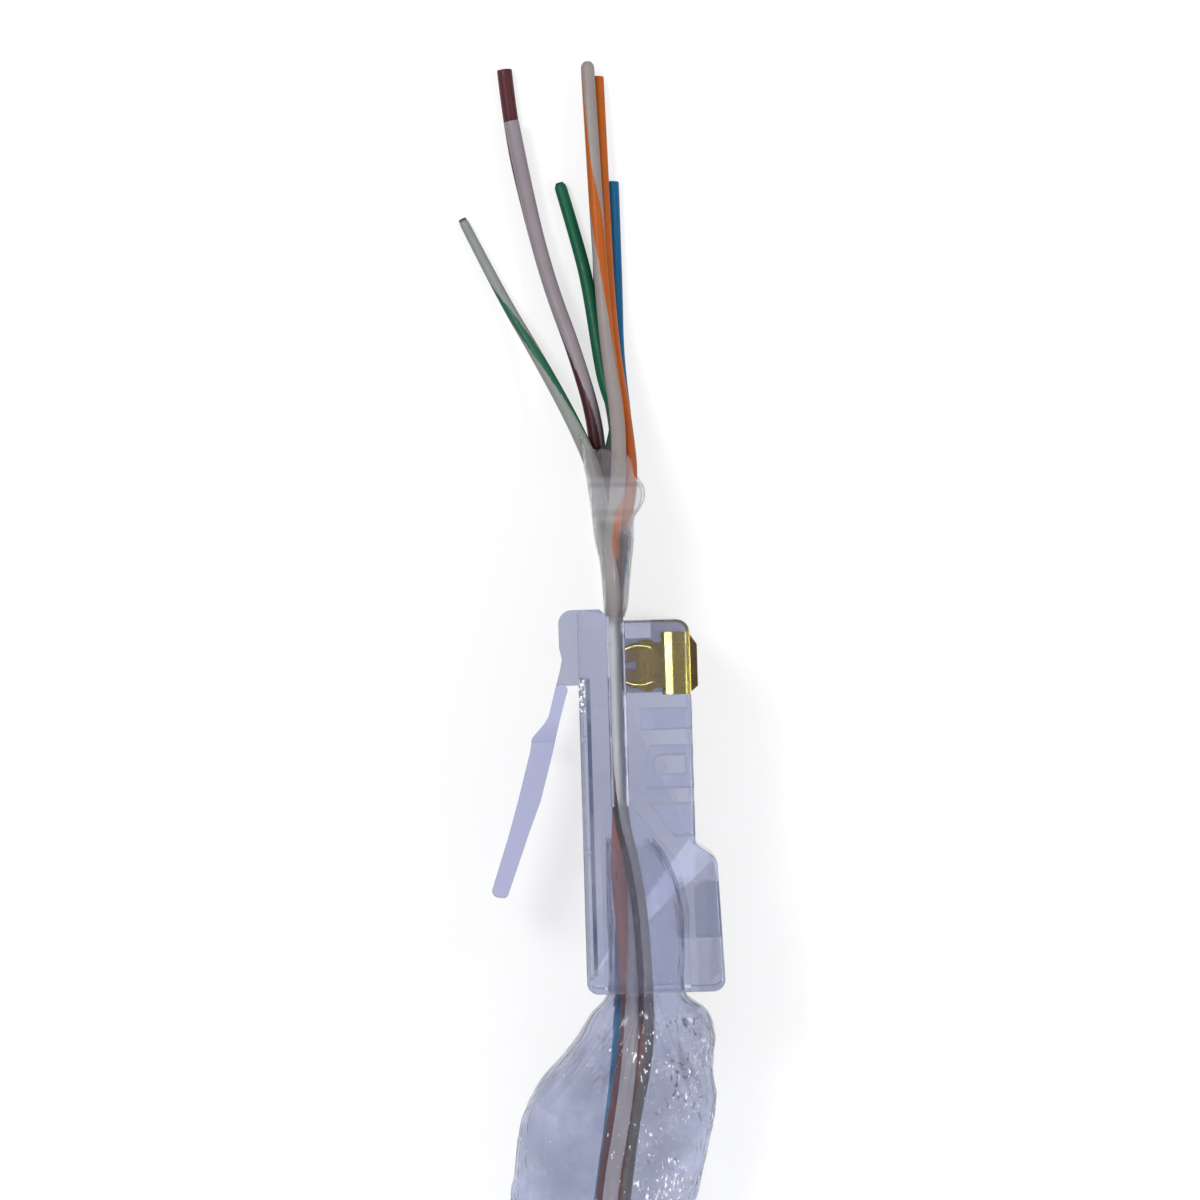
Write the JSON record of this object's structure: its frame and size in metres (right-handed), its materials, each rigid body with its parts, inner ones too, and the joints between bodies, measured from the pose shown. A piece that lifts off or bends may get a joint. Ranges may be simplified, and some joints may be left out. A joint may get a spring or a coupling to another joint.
{
  "type": "eight position modular plug with conductors",
  "caption": "Clear pass-through modular plug with latch and gold contacts, its coloured conductors threaded through before crimping, on a tied length of cable.",
  "frame": {"origin": "on the lower side face of the plug, at the middle of its length and of its front body's thickness", "axes": "+Y towards the nose, -X the latch side, +X the contact side, +Z across the plug's width; the plug lies on its side"},
  "size_m": [0.0418, 0.1833, 0.0117],
  "materials": {
    "clear_plastic": "clear moulded polycarbonate, faintly violet",
    "film": "clear crinkled film",
    "contact_gold": "gold plated, bright",
    "copper": "bare copper",
    "jacket": "smooth matte",
    "tie": "woven hook and loop",
    "white_orange_wire": "satin polyethylene",
    "orange_wire": "satin polyethylene",
    "white_green_wire": "satin polyethylene",
    "green_wire": "satin polyethylene",
    "white_blue_wire": "satin polyethylene",
    "blue_wire": "satin polyethylene",
    "white_brown_wire": "satin polyethylene",
    "brown_wire": "satin polyethylene"
  },
  "bodies": {
    "plug": {"housing": "clear_plastic", "contact_1": "contact_gold", "contact_2": "contact_gold", "contact_3": "contact_gold", "contact_4": "contact_gold", "contact_5": "contact_gold", "contact_6": "contact_gold", "contact_7": "contact_gold", "contact_8": "contact_gold", "white_orange_insulation": "white_orange_wire", "orange_insulation": "orange_wire", "white_green_insulation": "white_green_wire", "green_insulation": "green_wire", "white_blue_insulation": "white_blue_wire", "blue_insulation": "blue_wire", "white_brown_insulation": "white_brown_wire", "brown_insulation": "brown_wire", "white_orange_core": "copper", "orange_core": "copper", "white_green_core": "copper", "green_core": "copper", "white_blue_core": "copper", "blue_core": "copper", "white_brown_core": "copper", "brown_core": "copper", "cable_jacket": "jacket", "cable_hank": "jacket", "hank_tie": "tie", "film_sleeve": "film", "nose_wrap": "film"},
    "latch": {"latch": "clear_plastic"}
  },
  "joints": [
    {"name": "latch_flex", "type": "hinge", "parent": "plug", "child": "latch", "pos_m": [-0.00435, 0.00655, 0.00584], "axis": [0, 0, 1], "range_deg": [0, 15], "stiffness_Nm_per_rad": 0.12}
  ]
}
